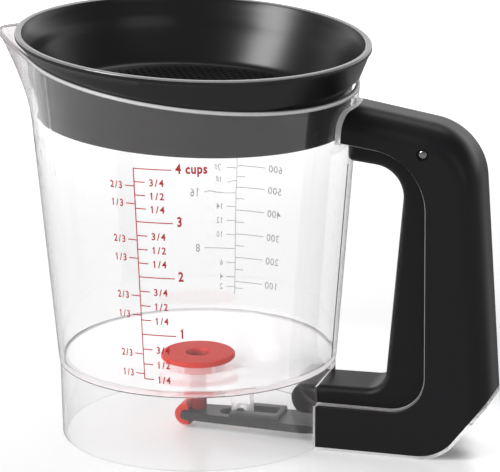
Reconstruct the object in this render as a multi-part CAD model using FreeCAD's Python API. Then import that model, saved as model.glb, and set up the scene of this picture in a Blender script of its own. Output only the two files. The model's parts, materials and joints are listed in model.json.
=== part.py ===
"""Gravy fat separator with a bottom drain.

A clear tapered cup with a pouring spout stands on a clear skirt. A black strainer
sits in its mouth. A trigger in the handle presses down one end of a lever under
the cup floor, and the lever's other end lifts a silicone plug off the drain hole.

Millimetres. +Z is up, +X points to the handle and -X to the spout. Z = 0 is the
table. Shapes are drawn about the cup's own axis and moved along X at the end, so
that the origin lies at the centre of the footprint.
"""
import FreeCAD, Part
import math
import os

from FreeCAD import Vector

# ---------------------------------------------------------------- cup and skirt
CUP_BOTTOM_RADIUS = 54.95      # outside of the cup where it meets the skirt
CUP_DRAFT_DEG = 4.9            # the wall leans out by this much
CUP_WALL = 1.65
SKIRT_HEIGHT = 30.0
SKIRT_TOP_RADIUS = 54.6        # outside, a little inside the cup's lower edge
SKIRT_BOTTOM_RADIUS = 54.25
SKIRT_WALL = 1.6
RIM_HEIGHT = 148.3             # cup rim, measured on the cup's axis
RIM_SLOPE = 0.123              # the rim rises towards the spout

# floor, dished towards a drain hole in the middle
FLOOR_EDGE_HEIGHT = 32.5       # top of the floor at the wall
FLOOR_CENTRE_HEIGHT = 26.0     # top of the floor at the drain seat
FLOOR_THICKNESS = 2.0
FLOOR_SKIRT_GAP = 0.3          # the underside clears the skirt before it turns level
DRAIN_RADIUS = 7.0
SEAT_RADIUS = 14.2             # raised ring that the plug closes on
SEAT_HEIGHT = 2.7

# spout: the wall leaves the cone and runs out to a V-shaped lip
SPOUT_REACH = 80.0             # from the cup's axis to the tip of the lip
SPOUT_START_HEIGHT = 112.0
SPOUT_GROWTH = 1.5             # power of the outward curve of the keel
SPOUT_TIP_SOFTNESS_DEG = 6.0   # rounds the point of the V
SPOUT_HALF_ANGLE_DEG = 48.0    # the part of the wall that the spout may bend
SPOUT_STATIONS = 7             # level cuts that the spout is lofted through
SPOUT_POINTS = 24              # points along each cut

# ---------------------------------------------------------------- strainer
STRAINER_RIM_RADIUS = 69.1
STRAINER_RIM_HEIGHT = 159.0    # on the cup's axis
STRAINER_SLOPE = 0.052         # the strainer rises towards the spout too
STRAINER_HEIGHT = 31.5         # from the rim down to the band's lower edge
STRAINER_WALL = 1.4
STRAINER_LIP_WIDTH = 2.6
STRAINER_LIP_HEIGHT = 2.2
STRAINER_LIP_ROUND = 0.6
STRAINER_CUP_GAP = 0.5         # between the band and the cup's wall
STRAINER_SEAT_WIDTH = 0.5      # how far the flare stands on the cup's rim
STRAINER_STEP = 0.7            # the band's lower part is this much slimmer
STRAINER_STEP_DROP = 6.3       # the step's place below the cup's rim, on the axis
STRAINER_STEP_SLOPE = -0.04    # the step tilts the other way
STRAINER_FLARE_RISE = 1.4      # the bowl flares from here above the cup's rim, on the axis
STRAINER_FLARE_SLOPE = 0.079
STRAINER_FLOOR_DROP = 25.0     # from the rim down to the perforated floor
STRAINER_FLOOR_THICKNESS = 1.8
STRAINER_CORNER_RADIUS = 4.0   # the bowl's wall curves into its floor
STRAINER_CORNER_STEPS = 3
STRAINER_HOLE_RADIUS = 1.15    # to the corners of a six-sided hole
STRAINER_HOLE_PITCH = 6.0
STRAINER_HOLE_FIELD_RADIUS = 50.0

# ---------------------------------------------------------------- handle outline
HANDLE_REACH = 120.3           # from the cup's axis to the lower back corner
HANDLE_HALF_WIDTH = 16.3
HANDLE_EDGE_RADIUS = 7.0
HANDLE_TOP_INNER = (64.7, 136.0)   # x and z where the top edge meets the cup
HANDLE_TOP_SLOPE_DEG = 9.3
HANDLE_BACK_LEAN_DEG = 3.5
HANDLE_BACK_CORNER_HEIGHT = 22.2
HANDLE_SHOULDER_RADIUS = 24.0
CHAMFER_DEG = 51.8
SOLE_BEND_RADIUS = 20.0
SOLE_THICKNESS = 1.3           # clear plate under the black cover
COVER_WALL = 2.0

# line where the cover ends and the trigger begins
PARTING_TOP_HEIGHT = 124.3     # at x = 65
PARTING_TOP_SLOPE_DEG = 7.4
PARTING_X = 96.7
PARTING_BOTTOM_HEIGHT = 17.8
PARTING_TOP_RADIUS = 24.0
PARTING_BOTTOM_RADIUS = 15.0

# clear frame inside the cover
FRAME_WALL = 1.4
FRAME_LIP = 0.8                # the frame stands out of the cover by this much
FRAME_GAP = 0.12               # between cover and frame
COLLAR_THICKNESS = 2.2         # clear collar between the cup wall and the cover
FOOT_COLLAR_THICKNESS = 0.9
WELD_GAP = 0.05

# ---------------------------------------------------------------- trigger
TRIGGER_HALF_WIDTH = 12.2
TRIGGER_EDGE_RADIUS = 3.0
TRIGGER_WALL = 2.2
TRIGGER_TOP_END_X = 64.6
TRIGGER_UNDERSIDE_HEIGHT = 116.5
TRIGGER_UNDERSIDE_SLOPE_DEG = 6.0
TRIGGER_GRIP_TOP = (86.4, 103.0)
TRIGGER_GRIP_LEAN_DEG = 5.4
TRIGGER_LEG_TOP_HEIGHT = 25.3
TRIGGER_LEG_BOTTOM_HEIGHT = 12.0
TRIGGER_NOSE_X = 39.5
TRIGGER_NOSE_CORNER_RADIUS = 9.0
TRIGGER_INNER_DEPTH = 5.5      # how far its walls reach behind the parting line
TRIGGER_UPPER_CURVE_RADIUS = 12.0
TRIGGER_LOWER_CURVE_RADIUS = 8.0
PIVOT = (95.3, 122.0)          # x and z of the steel pin
PIN_RADIUS = 1.5
PIN_CLEARANCE = 0.05
PIN_RECESS_RADIUS = 2.4
PIN_RECESS_DEPTH = 1.1
PIN_BOSS_RADIUS = 4.6
PUSHER_X = 50.0
PUSHER_RADIUS = 2.2
PUSHER_HALF_WIDTH = 4.0

# arched window in the skirt that the trigger's leg and the lever pass through
SLOT_HALF_WIDTH = TRIGGER_HALF_WIDTH + 1.2
SLOT_BOTTOM = -1.0             # below the skirt's edge, so the window is open downwards
SLOT_TOP_HEIGHT = TRIGGER_LEG_TOP_HEIGHT + 2.2
SLOT_SHOULDER_DROP = 2.4

# return spring between trigger and frame
SPRING_HEIGHT = 70.0
SPRING_RADIUS = 3.8            # to the middle of the wire
SPRING_WIRE_RADIUS = 0.5
SPRING_TURNS = 7
SPRING_STEPS_PER_TURN = 14
SPRING_PEG_RADIUS = 2.7
SPRING_PEG_LENGTH = 4.0
SPRING_SEAT_GAP = 0.1

# ---------------------------------------------------------------- lever under the floor
LEVER_PIVOT_X = 18.3
LEVER_PIVOT_HEIGHT = 8.0
LEVER_BAR_RADIUS = 2.0
LEVER_TOP_HEIGHT = 7.1
LEVER_THICKNESS = 3.3
LEVER_TIP_X = -6.1
LEVER_END_X = 61.0
LEVER_TIP_HALF_WIDTH = 5.5
LEVER_END_HALF_WIDTH = 10.2
LEVER_END_THIN = 1.6           # the underside rises by this much at the outer end
LEVER_SLOT_START_X = 9.0
LEVER_WINDOW_HALF_WIDTH = 3.5
LEVER_WINDOW_END_X = 33.0
LEVER_FRAME_START_X = 14.8
LEVER_FRAME_END_X = 34.6
LEVER_FRAME_HALF_WIDTH = 7.4
LEVER_FRAME_TOP_HEIGHT = 9.2
LEVER_GAP = 0.3                # between the lever and what it pushes or lifts

# clear clip that hangs from the floor and holds the lever's bar
CLIP_HALF_WIDTH = 2.8
CLIP_WALL = 1.7
CLIP_BAR_CLEARANCE = 0.08
CLIP_MOUTH = 3.0

# ---------------------------------------------------------------- drain plug
PLUG_RADIUS = 14.7
PLUG_THICKNESS = 2.2
PLUG_SEAT_GAP = 0.05
PLUG_STEM_RADIUS = 5.9
PLUG_STEM_DEPTH = 7.0
PLUG_NECK_RADIUS = 3.2
PLUG_RECESS_RADIUS = 4.9
PLUG_RECESS_FLOOR_RADIUS = 3.4
PLUG_RECESS_DEPTH = 2.6
HOOK_THICKNESS = 2.3
HOOK_HALF_WIDTH = 4.0
HOOK_OPENING_DEG = 60.0
HOOK_CLEARANCE = 0.35

BIG = 400.0
DRAFT = math.tan(math.radians(CUP_DRAFT_DEG))
CHAMFER = math.tan(math.radians(CHAMFER_DEG))
Z_AXIS = Vector(0, 0, 1)
Y_AXIS = Vector(0, 1, 0)
AXIS_SHIFT = Vector((SPOUT_REACH - HANDLE_REACH) / 2, 0, 0)


# ================================================================ helpers
def xz(x, z, y=0.0):
    """A point of a side view."""
    return Vector(x, y, z)


def polygon(points):
    return Part.makePolygon(list(points) + [points[0]])


def rounded_outline(corners):
    """Closed wire through corners given as (point, radius), with tangent arcs."""
    starts, ends, edges = [], [], []
    count = len(corners)
    for i, (corner, radius) in enumerate(corners):
        before = (corners[i - 1][0] - corner).normalize()
        after = (corners[(i + 1) % count][0] - corner).normalize()
        half = before.getAngle(after) / 2
        reach = radius / math.tan(half) if radius else 0.0
        start = corner + before * reach
        end = corner + after * reach
        if radius:
            middle_way = (before + after).normalize()
            middle = corner + middle_way * (radius / math.sin(half) - radius)
            edges.append((i, Part.Arc(start, middle, end).toShape()))
        starts.append(start)
        ends.append(end)
    arcs = dict(edges)
    chain = []
    for i in range(count):
        if i in arcs:
            chain.append(arcs[i])
        following = starts[(i + 1) % count]
        if (following - ends[i]).Length > 1e-6:
            chain.append(Part.LineSegment(ends[i], following).toShape())
    return Part.Wire(chain)


def plate(outline, half_width):
    """Side-view outline given thickness along Y, centred on the XZ plane."""
    solid = Part.Face(outline).extrude(Y_AXIS * (2 * half_width))
    solid.translate(Y_AXIS * -half_width)
    return solid


def box(x0, x1, y0, y1, z0, z1):
    return Part.makeBox(x1 - x0, y1 - y0, z1 - z0, Vector(x0, y0, z0))


def turned(points):
    """Solid of revolution about Z from (radius, height) points."""
    face = Part.Face(polygon([xz(r, z) for r, z in points]))
    return face.revolve(Vector(0, 0, 0), Z_AXIS, 360)


def rod_y(x, z, radius, half_length):
    """Cylinder along Y."""
    return Part.makeCylinder(radius, 2 * half_length, Vector(x, -half_length, z), Y_AXIS)


def closed_solid(faces):
    """Solid bounded by faces that meet edge to edge."""
    shell = Part.makeShell(faces)
    shell.sewShape()
    solid = Part.Solid(shell.Shells[0])
    if solid.Volume < 0:
        solid.reverse()
    return solid


def below_slope(height, slope):
    """Everything under the tilted plane z = height - slope * x."""
    left = height + slope * BIG
    right = height - slope * BIG
    outline = polygon([xz(-BIG, -BIG), xz(BIG, -BIG), xz(BIG, right), xz(-BIG, left)])
    return plate(outline, BIG)


def above_slope(height, slope):
    left = height + slope * BIG
    right = height - slope * BIG
    outline = polygon([xz(-BIG, left), xz(BIG, right), xz(BIG, BIG), xz(-BIG, BIG)])
    return plate(outline, BIG)


def sheared(shape, slope):
    """Shift each point down by slope * x, which tilts level planes and keeps upright ones."""
    matrix = FreeCAD.Matrix()
    matrix.A31 = -slope
    return shape.transformGeometry(matrix)


# ================================================================ cup
def cup_radius(height):
    """Outside radius of the cup's cone."""
    return CUP_BOTTOM_RADIUS + (height - SKIRT_HEIGHT) * DRAFT


def cone(low, high, offset=0.0):
    """Solid cone of the cup's outside, moved out by offset."""
    return Part.makeCone(cup_radius(low) + offset, cup_radius(high) + offset, high - low,
                         Vector(0, 0, low))


def spout_section(height, inset):
    """Level cut through the wall: an arc round the back and a smooth nose at -X."""
    radius = cup_radius(height) - inset
    rim_at_tip = RIM_HEIGHT + RIM_SLOPE * SPOUT_REACH
    share = max(0.0, (height - SPOUT_START_HEIGHT) / (rim_at_tip - SPOUT_START_HEIGHT))
    keel = (SPOUT_REACH - cup_radius(rim_at_tip)) * share ** SPOUT_GROWTH
    lean = math.acos(radius / (radius + keel))
    soft = math.radians(SPOUT_TIP_SOFTNESS_DEG)
    edge = math.radians(SPOUT_HALF_ANGLE_DEG)

    def on_wall(angle):
        bend = max(0.0, lean + soft - math.hypot(angle, soft)) if keel else 0.0
        reach = radius / math.cos(bend)
        return Vector(-reach * math.cos(angle), reach * math.sin(angle), height)

    nose_points = [on_wall(edge * (2.0 * i / SPOUT_POINTS - 1.0)) for i in range(SPOUT_POINTS + 1)]
    if keel:
        end_way = Vector(math.sin(edge), math.cos(edge), 0)
        nose = Part.BSplineCurve()
        nose.interpolate(Points=nose_points, InitialTangent=Vector(-end_way.x, end_way.y, 0),
                         FinalTangent=Vector(end_way.x, end_way.y, 0))
    else:
        nose = Part.Arc(nose_points[0], nose_points[SPOUT_POINTS // 2], nose_points[-1])
    back = Part.Arc(nose_points[-1], Vector(radius, 0, height), nose_points[0])
    return Part.Wire([nose.toShape(), back.toShape()])


def cup_form(inset, low):
    """Cone with the spout grown out of its upper part, solid, up to above the rim."""
    top = RIM_HEIGHT + RIM_SLOPE * SPOUT_REACH + 3.0
    step = (top - SPOUT_START_HEIGHT) / SPOUT_STATIONS
    heights = [SPOUT_START_HEIGHT + step * i for i in range(SPOUT_STATIONS + 1)]
    upper = Part.makeLoft([spout_section(height, inset) for height in heights], True, False)
    lower = cone(low, SPOUT_START_HEIGHT, -inset)
    return upper.fuse(lower)


def cup():
    below = SKIRT_HEIGHT
    wall = cup_form(0.0, below).cut(cup_form(CUP_WALL, below - 1.0))
    wall = wall.common(below_slope(RIM_HEIGHT, RIM_SLOPE))
    edge_radius = cup_radius(FLOOR_EDGE_HEIGHT) - CUP_WALL / 2
    floor = turned([(DRAIN_RADIUS, FLOOR_CENTRE_HEIGHT - FLOOR_THICKNESS),
                    (SEAT_RADIUS, FLOOR_CENTRE_HEIGHT - FLOOR_THICKNESS),
                    (SKIRT_TOP_RADIUS - SKIRT_WALL - FLOOR_SKIRT_GAP, SKIRT_HEIGHT),
                    (edge_radius, SKIRT_HEIGHT),
                    (edge_radius, FLOOR_EDGE_HEIGHT),
                    (SEAT_RADIUS, FLOOR_CENTRE_HEIGHT),
                    (SEAT_RADIUS - 0.4, FLOOR_CENTRE_HEIGHT + SEAT_HEIGHT),
                    (DRAIN_RADIUS, FLOOR_CENTRE_HEIGHT + SEAT_HEIGHT)])
    return wall.fuse([floor, lever_clip()]).removeSplitter()


def lever_clip():
    """Two legs under the floor with a snap seat for the lever's bar."""
    seat_radius = LEVER_BAR_RADIUS + CLIP_BAR_CLEARANCE
    reach = seat_radius + CLIP_WALL
    foot = LEVER_PIVOT_HEIGHT - 0.75 * seat_radius
    roof = FLOOR_CENTRE_HEIGHT - FLOOR_THICKNESS / 2
    block = box(LEVER_PIVOT_X - reach, LEVER_PIVOT_X + reach, -CLIP_HALF_WIDTH, CLIP_HALF_WIDTH, foot, roof)
    notch_roof = roof - 2.5 * FLOOR_THICKNESS
    notch = plate(rounded_outline([
        (xz(LEVER_PIVOT_X - reach + CLIP_WALL, notch_roof), 1.0),
        (xz(LEVER_PIVOT_X + reach - CLIP_WALL, notch_roof), 1.0),
        (xz(LEVER_PIVOT_X, LEVER_PIVOT_HEIGHT + seat_radius + CLIP_WALL), 1.0)]), BIG)
    half_mouth = CLIP_MOUTH / 2
    mouth = box(LEVER_PIVOT_X - half_mouth, LEVER_PIVOT_X + half_mouth, -BIG, BIG, 0, LEVER_PIVOT_HEIGHT)
    seat = rod_y(LEVER_PIVOT_X, LEVER_PIVOT_HEIGHT, seat_radius, BIG)
    return block.cut([seat, mouth, notch])


def base_skirt():
    outer = Part.makeCone(SKIRT_BOTTOM_RADIUS, SKIRT_TOP_RADIUS, SKIRT_HEIGHT)
    inner = Part.makeCone(SKIRT_BOTTOM_RADIUS - SKIRT_WALL, SKIRT_TOP_RADIUS - SKIRT_WALL, SKIRT_HEIGHT)
    return outer.cut([inner, skirt_slot()])


def skirt_slot():
    """Arched window towards the handle, for the trigger's leg and the lever."""
    shoulder = SLOT_TOP_HEIGHT - SLOT_SHOULDER_DROP
    corners = [Vector(0, -SLOT_HALF_WIDTH, shoulder), Vector(0, -SLOT_HALF_WIDTH, SLOT_BOTTOM),
               Vector(0, SLOT_HALF_WIDTH, SLOT_BOTTOM), Vector(0, SLOT_HALF_WIDTH, shoulder)]
    arch = Part.Arc(corners[-1], Vector(0, 0, SLOT_TOP_HEIGHT), corners[0])
    outline = Part.Wire([arch.toShape()] + Part.makePolygon(corners).Edges)
    return Part.Face(outline).extrude(Vector(BIG, 0, 0))


# ================================================================ strainer
def hoop(radius, height, slope, centre_x=0.0):
    """Round section about the cup's axis on the tilted plane z = height - slope * x."""
    level = Part.Wire([Part.Circle(Vector(centre_x, 0, 0), Z_AXIS, radius).toShape()])
    ring = sheared(level, slope)
    ring.translate(Vector(0, 0, height))
    return ring


def cone_hoop(offset, height, slope):
    """The cup's cone, moved out by offset, where a tilted plane cuts it."""
    radius = cup_radius(height) + offset
    return hoop(radius, height, slope, -slope * DRAFT * radius)


def strainer():
    floor_top = STRAINER_RIM_HEIGHT - STRAINER_FLOOR_DROP
    floor_under = floor_top - STRAINER_FLOOR_THICKNESS
    inset = -CUP_WALL - STRAINER_CUP_GAP - STRAINER_STEP - STRAINER_WALL
    hollow_under = cone(SPOUT_START_HEIGHT, RIM_HEIGHT, inset)
    hollow_under = hollow_under.common(below_slope(floor_under, STRAINER_SLOPE))
    body = strainer_outside().cut([strainer_bowl(inset), hollow_under])
    return perforated(body, floor_top, floor_under)


def strainer_outside():
    """A two-step band that fits the cup's mouth, and a flare from the cup's rim to the strainer's own rim."""
    rim = STRAINER_RIM_HEIGHT
    lip_under = rim - STRAINER_LIP_HEIGHT
    lip_edge = STRAINER_RIM_RADIUS - STRAINER_LIP_ROUND
    flare = Part.makeLoft([cone_hoop(-CUP_WALL + STRAINER_SEAT_WIDTH, RIM_HEIGHT, RIM_SLOPE),
                           hoop(lip_edge, lip_under, STRAINER_SLOPE),
                           hoop(STRAINER_RIM_RADIUS, lip_under + STRAINER_LIP_ROUND, STRAINER_SLOPE),
                           hoop(STRAINER_RIM_RADIUS, rim - STRAINER_LIP_ROUND, STRAINER_SLOPE),
                           hoop(lip_edge, rim, STRAINER_SLOPE)], True, True)
    mouth_top = RIM_HEIGHT + RIM_SLOPE * SPOUT_REACH
    fit = -CUP_WALL - STRAINER_CUP_GAP
    below_step = below_slope(RIM_HEIGHT - STRAINER_STEP_DROP, STRAINER_STEP_SLOPE)
    upper = cone(SPOUT_START_HEIGHT, mouth_top, fit).common(below_slope(RIM_HEIGHT, RIM_SLOPE))
    lower = cone(SPOUT_START_HEIGHT, mouth_top, fit - STRAINER_STEP).common(below_step)
    lower = lower.cut(below_slope(rim - STRAINER_HEIGHT, STRAINER_SLOPE))
    return lower.fuse([upper.cut(below_step), flare.cut(below_step)])


def strainer_bowl(inset):
    """Inside of the bowl: a round corner, a wall along the cup's, and a flare up to the lip."""
    rim = STRAINER_RIM_HEIGHT
    floor_top = rim - STRAINER_FLOOR_DROP
    wall_radius = cup_radius(floor_top + STRAINER_CORNER_RADIUS) + inset
    hoops = []
    for i in range(STRAINER_CORNER_STEPS + 1):
        turn = math.radians(90.0 * i / STRAINER_CORNER_STEPS)
        radius = wall_radius - STRAINER_CORNER_RADIUS * (1 - math.sin(turn))
        rise = STRAINER_CORNER_RADIUS * (1 - math.cos(turn))
        hoops.append(hoop(radius, floor_top + rise, STRAINER_SLOPE, -STRAINER_SLOPE * DRAFT * radius))
    hoops.append(cone_hoop(inset, RIM_HEIGHT + STRAINER_FLARE_RISE, STRAINER_FLARE_SLOPE))
    inside = STRAINER_RIM_RADIUS - STRAINER_LIP_WIDTH
    hoops.append(hoop(inside, rim, STRAINER_SLOPE))
    hoops.append(hoop(inside + STRAINER_LIP_ROUND, rim + STRAINER_LIP_HEIGHT, STRAINER_SLOPE))
    return Part.makeLoft(hoops, True, True)


def hole_rims(height):
    """Corners of each six-sided hole on the tilted plane at this height."""
    row_step = STRAINER_HOLE_PITCH * math.sqrt(3) / 2
    rows = int(STRAINER_HOLE_FIELD_RADIUS / row_step)
    columns = int(STRAINER_HOLE_FIELD_RADIUS / STRAINER_HOLE_PITCH) + 1

    def corner(x, y, turn):
        corner_x = x + STRAINER_HOLE_RADIUS * math.cos(math.pi * turn / 3)
        corner_y = y + STRAINER_HOLE_RADIUS * math.sin(math.pi * turn / 3)
        return Vector(corner_x, corner_y, height - STRAINER_SLOPE * corner_x)

    rims = []
    for row in range(-rows, rows + 1):
        for column in range(-columns, columns + 1):
            x = (column + (row % 2) / 2) * STRAINER_HOLE_PITCH
            y = row * row_step
            if math.hypot(x, y) <= STRAINER_HOLE_FIELD_RADIUS:
                rims.append([corner(x, y, turn) for turn in range(6)])
    return rims


def perforated(body, top, under):
    """The body with holes let through its floor: holed faces above and below, and each hole's walls."""
    rims = {height: hole_rims(height) for height in (top, under)}
    field_area = math.pi * STRAINER_HOLE_FIELD_RADIUS ** 2
    faces = []
    for face in body.Faces:
        middle = face.CenterOfMass
        level = middle.z + STRAINER_SLOPE * middle.x
        for height in (top, under):
            if abs(level - height) < 0.05 and face.Area > field_area:
                wires = [face.OuterWire] + [polygon(rim) for rim in rims[height]]
                face = Part.makeFace(wires, "Part::FaceMakerBullseye")
        faces.append(face)
    for above, below in zip(rims[top], rims[under]):
        for k in range(6):
            faces.append(Part.Face(polygon([above[k - 1], above[k], below[k], below[k - 1]])))
    return closed_solid(faces)


# ================================================================ handle
def back_x(height, inset=0.0):
    """The handle's back leans in as it rises."""
    lean = math.radians(HANDLE_BACK_LEAN_DEG)
    return HANDLE_REACH - (height - HANDLE_BACK_CORNER_HEIGHT) * math.tan(lean) - inset / math.cos(lean)


def top_z(x, inset=0.0):
    """The handle's top edge falls away from the cup."""
    slope = math.radians(HANDLE_TOP_SLOPE_DEG)
    return HANDLE_TOP_INNER[1] - (x - HANDLE_TOP_INNER[0]) * math.tan(slope) - inset / math.cos(slope)


def shoulder_corner(inset):
    """Where the straight top and the straight back would meet."""
    height = HANDLE_TOP_INNER[1]
    for _ in range(20):
        height = top_z(back_x(height, inset), inset)
    return xz(back_x(height, inset), height)


def chamfer_x(height, inset=0.0):
    """The cut-off lower back corner."""
    corner = (HANDLE_REACH, HANDLE_BACK_CORNER_HEIGHT)
    return corner[0] - (corner[1] - height) / CHAMFER - inset / math.sin(math.radians(CHAMFER_DEG))


def parting_top_z(x, offset=0.0):
    slope = math.radians(PARTING_TOP_SLOPE_DEG)
    return PARTING_TOP_HEIGHT - (x - HANDLE_TOP_INNER[0]) * math.tan(slope) + offset / math.cos(slope)


def handle_block(inset):
    """Whole handle as one block with rounded edges, without the parting and the chamfer."""
    start_x = CUP_BOTTOM_RADIUS / 2
    corner = shoulder_corner(inset)
    shape = plate(rounded_outline([
        (xz(start_x, -5.0), 0),
        (xz(back_x(-5.0, inset), -5.0), 0),
        (corner, HANDLE_SHOULDER_RADIUS - inset),
        (xz(start_x, top_z(start_x, inset)), 0)]), HANDLE_HALF_WIDTH - inset)
    half = HANDLE_HALF_WIDTH - inset
    outer_edges = []
    for edge in shape.Edges:
        box_ = edge.BoundBox
        on_side = abs(abs(box_.YMin) - half) < 0.01 and box_.YLength < 0.01
        is_top = box_.ZMin > top_z(corner.x, inset) - HANDLE_SHOULDER_RADIUS * 1.2
        is_back = box_.XMin > corner.x - 1.0
        if on_side and (is_top or is_back):
            outer_edges.append(edge)
    return shape.makeFillet(HANDLE_EDGE_RADIUS - inset, outer_edges)


def sole_cut(inset):
    """Region kept above the sole: its flat, its bend and its chamfer."""
    corner_x = chamfer_x(inset, inset)
    top = HANDLE_BACK_CORNER_HEIGHT + 150.0
    return plate(rounded_outline([
        (xz(0, inset), 0),
        (xz(corner_x, inset), SOLE_BEND_RADIUS - inset),
        (xz(chamfer_x(top, inset), top), 0),
        (xz(0, top), 0)]), BIG)


def trigger_side(offset):
    """Space on the trigger's side of the parting line, moved towards the cup by offset."""
    right = PARTING_X - offset
    left = 0.0
    low = PARTING_BOTTOM_HEIGHT + offset
    return plate(rounded_outline([
        (xz(left, low), 0),
        (xz(right, low), PARTING_BOTTOM_RADIUS - offset),
        (xz(right, parting_top_z(right, -offset)), PARTING_TOP_RADIUS - offset),
        (xz(left, parting_top_z(left, -offset)), 0)]), BIG)


def handle_cover():
    outside = handle_block(0.0).common(sole_cut(SOLE_THICKNESS))
    inside = handle_block(COVER_WALL)
    shell = outside.cut([inside, trigger_side(0.0), cup_keepout(COLLAR_THICKNESS, FOOT_COLLAR_THICKNESS)])
    return shell.cut(pin_hole(PIN_CLEARANCE, PIN_RECESS_RADIUS))


def cup_keepout(upper_gap, lower_gap):
    """Cup and skirt as solids, grown by the thickness of the collars round them."""
    split = PARTING_BOTTOM_HEIGHT + 30.0
    upper = cone(split, RIM_HEIGHT + 20.0, upper_gap)
    lower = Part.makeCone(SKIRT_BOTTOM_RADIUS + lower_gap, SKIRT_TOP_RADIUS + lower_gap, SKIRT_HEIGHT)
    middle_radius = cup_radius(split) + upper_gap
    middle = Part.makeCylinder(middle_radius, split - SKIRT_HEIGHT, Vector(0, 0, SKIRT_HEIGHT))
    deep = Part.makeCylinder(SKIRT_BOTTOM_RADIUS + lower_gap, 20.0, Vector(0, 0, -20.0))
    return upper.fuse([middle, lower, deep])


def pin_hole(clearance, recess_radius):
    shaft = rod_y(PIVOT[0], PIVOT[1], PIN_RADIUS + clearance, BIG)
    face = HANDLE_HALF_WIDTH - PIN_RECESS_DEPTH
    recesses = [Part.makeCylinder(recess_radius, BIG, Vector(PIVOT[0], side * face, PIVOT[1]), Y_AXIS * side)
                for side in (-1, 1)]
    return shaft.fuse(recesses)


def trigger_pin():
    half = HANDLE_HALF_WIDTH - PIN_RECESS_DEPTH + 0.3
    return rod_y(PIVOT[0], PIVOT[1], PIN_RADIUS, half)


def handle_frame():
    """Clear U-shaped channel inside the cover, with its sole and collars."""
    outer_inset = COVER_WALL + FRAME_GAP
    channel = handle_block(outer_inset).common(sole_cut(0.0))
    hollow = plate(rounded_outline([
        (xz(CUP_BOTTOM_RADIUS / 2 - 1.0, SOLE_THICKNESS), 0),
        (xz(chamfer_x(SOLE_THICKNESS, SOLE_THICKNESS), SOLE_THICKNESS), SOLE_BEND_RADIUS - SOLE_THICKNESS),
        (xz(back_x(HANDLE_BACK_CORNER_HEIGHT, outer_inset + FRAME_WALL), HANDLE_BACK_CORNER_HEIGHT - 1.0), 0),
        (shoulder_corner(outer_inset + FRAME_WALL), HANDLE_SHOULDER_RADIUS - outer_inset - FRAME_WALL),
        (xz(CUP_BOTTOM_RADIUS / 2 - 1.0, top_z(CUP_BOTTOM_RADIUS / 2 - 1.0, outer_inset + FRAME_WALL)), 0)]),
        HANDLE_HALF_WIDTH - outer_inset - FRAME_WALL)
    channel = channel.cut([hollow, trigger_side(FRAME_LIP)])
    sole = handle_block(0.0).common(sole_cut(0.0)).cut([sole_cut(SOLE_THICKNESS), trigger_side(0.0)])
    low_part = box(0, BIG, -BIG, BIG, -BIG, SKIRT_HEIGHT + 40.0)
    collar = handle_block(0.0).cut([trigger_side(FRAME_LIP), hollow, low_part])
    collar = collar.common(cup_keepout(COLLAR_THICKNESS - WELD_GAP, 0.0))
    foot_collar = handle_block(0.0).common(sole_cut(0.0)).cut([trigger_side(FRAME_LIP), hollow])
    foot_collar = foot_collar.common(cup_keepout(COLLAR_THICKNESS, FOOT_COLLAR_THICKNESS - WELD_GAP))
    foot_collar = foot_collar.common(box(0, BIG, -BIG, BIG, 0, PARTING_BOTTOM_HEIGHT))
    body = channel.fuse([sole, collar, foot_collar, spring_peg(frame_inner_back(), -1.0)])
    pin_bore = rod_y(PIVOT[0], PIVOT[1], PIN_RADIUS + PIN_CLEARANCE, BIG)
    return body.cut([cup_keepout(WELD_GAP, WELD_GAP), pin_bore]).removeSplitter()


def frame_inner_back():
    return back_x(SPRING_HEIGHT, COVER_WALL + FRAME_GAP + FRAME_WALL)


def spring_peg(wall_x, direction):
    """Peg along X that starts a little inside the wall and holds one end of the spring."""
    root = Vector(wall_x - direction, 0, SPRING_HEIGHT)
    return Part.makeCylinder(SPRING_PEG_RADIUS, SPRING_PEG_LENGTH + 1.0, root, Vector(direction, 0, 0))


# ================================================================ trigger
def grip_x(height, depth=0.0):
    """Front face of the grip, which leans towards the cup as it comes down."""
    lean = math.radians(TRIGGER_GRIP_LEAN_DEG)
    return TRIGGER_GRIP_TOP[0] - (TRIGGER_GRIP_TOP[1] - height) * math.tan(lean) + depth / math.cos(lean)


def underside_z(x, depth=0.0):
    slope = math.radians(TRIGGER_UNDERSIDE_SLOPE_DEG)
    return TRIGGER_UNDERSIDE_HEIGHT - (x - TRIGGER_TOP_END_X) * math.tan(slope) + depth / math.cos(slope)


def grip_front(depth):
    """Corners of the front outline from the cup end of the top leg to the lower leg."""
    top_x = grip_x(underside_z(TRIGGER_GRIP_TOP[0], depth), depth)
    leg = TRIGGER_LEG_TOP_HEIGHT - depth
    return [(xz(top_x, underside_z(top_x, depth)), TRIGGER_UPPER_CURVE_RADIUS + depth),
            (xz(grip_x(leg, depth), leg), TRIGGER_LOWER_CURVE_RADIUS + depth)]


def trigger_outline():
    """Side view of the trigger with its nose under the cup floor."""
    inner = TRIGGER_INNER_DEPTH
    back = PARTING_X + inner
    upper_corner = xz(back, parting_top_z(back, inner))
    low = TRIGGER_LEG_BOTTOM_HEIGHT
    return rounded_outline(
        [(xz(TRIGGER_TOP_END_X, parting_top_z(TRIGGER_TOP_END_X, inner)), 0),
         (xz(TRIGGER_TOP_END_X, underside_z(TRIGGER_TOP_END_X)), 2.0)]
        + grip_front(0.0)
        + [(xz(TRIGGER_NOSE_X + 4.0, TRIGGER_LEG_TOP_HEIGHT - 0.5), 5.0),
           (xz(TRIGGER_NOSE_X, TRIGGER_LEG_TOP_HEIGHT - 7.5), 3.0),
           (xz(TRIGGER_NOSE_X + 4.5, low + 0.8), 4.0),
           (xz(back, low), PARTING_BOTTOM_RADIUS + inner),
           (upper_corner, PARTING_TOP_RADIUS + inner)])


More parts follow.
